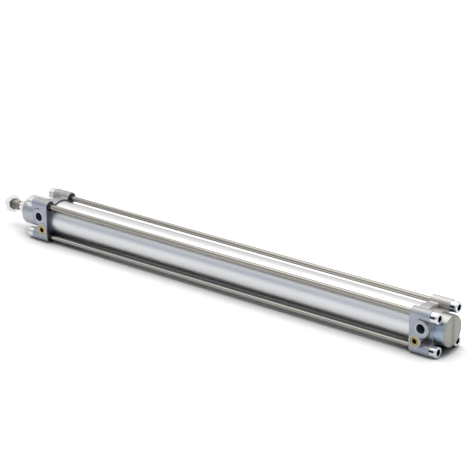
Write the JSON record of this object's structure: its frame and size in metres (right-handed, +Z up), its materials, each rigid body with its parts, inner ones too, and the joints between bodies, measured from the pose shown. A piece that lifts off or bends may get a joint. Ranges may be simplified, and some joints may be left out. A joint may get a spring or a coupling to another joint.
{
  "type": "pneumatic cylinder",
  "caption": "Long double-acting air cylinder with a round tube held between cast covers by tie rods, side ports, cushion screws and a threaded piston rod.",
  "frame": {"origin": "on the cylinder's axis, in the front mounting plane, which is the plane of the front tie rod nuts' faces", "axes": "+X along the axis from the rod end to the rear end, -Y towards the air ports, +Z up as it lies"},
  "size_m": [0.546, 0.0454, 0.0446],
  "materials": {
    "barrel": "satin anodised drawn tube",
    "casting": "blasted die casting with turned faces",
    "tie_rod": "drawn stainless steel",
    "zinc": "bright zinc plated steel",
    "rod": "hard chrome plated, ground and polished",
    "brass": "turned brass",
    "bronze": "sintered bronze",
    "needle": "turned steel",
    "piston": "turned aluminium",
    "magnet": "plastic bonded ferrite",
    "wear_ring": "acetal",
    "rubber": "moulded nitrile rubber",
    "bumper": "moulded polyurethane",
    "seal": "moulded polyurethane"
  },
  "bodies": {
    "housing": {"barrel": "barrel", "front_cover": "casting", "rear_cover": "casting", "front_barrel_oring": "rubber", "rear_barrel_oring": "rubber", "front_cushion_seal": "rubber", "rear_cushion_seal": "rubber", "front_bumper": "bumper", "rear_bumper": "bumper", "rod_bush": "bronze", "rod_seal": "seal", "front_needle_retainer": "brass", "rear_needle_retainer": "brass", "tie_rod_1": "tie_rod", "front_nut_1": "zinc", "rear_nut_1": "zinc", "tie_rod_2": "tie_rod", "front_nut_2": "zinc", "rear_nut_2": "zinc", "tie_rod_3": "tie_rod", "front_nut_3": "zinc", "rear_nut_3": "zinc", "tie_rod_4": "tie_rod", "front_nut_4": "zinc", "rear_nut_4": "zinc"},
    "piston_rings": {"wear_ring": "wear_ring", "front_piston_seal": "seal", "rear_piston_seal": "seal"},
    "rod_unit": {"piston_rod": "rod", "piston": "piston", "piston_magnet": "magnet", "piston_gasket": "rubber", "front_cushion_sleeve": "piston", "rear_cushion_sleeve": "piston", "piston_nut": "zinc", "rod_nut": "zinc"},
    "front_needle": {"front_cushion_needle": "needle", "front_needle_oring": "rubber"},
    "rear_needle": {"rear_cushion_needle": "needle", "rear_needle_oring": "rubber"}
  },
  "joints": [
    {"name": "piston_slide", "type": "slide", "parent": "housing", "child": "piston_rings", "axis": [-1, 0, 0], "range_m": [0, 0.4]},
    {"name": "rod_turn", "type": "hinge", "parent": "piston_rings", "child": "rod_unit", "pos_m": [0.447, 0, 0], "axis": [-1, 0, 0], "continuous": true},
    {"name": "front_needle_turn", "type": "hinge", "parent": "housing", "child": "front_needle", "pos_m": [0.0213, -0.0151, -0.0085], "axis": [0, -1, 0], "range_deg": [-360, 720]},
    {"name": "rear_needle_turn", "type": "hinge", "parent": "housing", "child": "rear_needle", "pos_m": [0.4727, -0.0151, -0.0085], "axis": [0, -1, 0], "range_deg": [-360, 720]}
  ]
}
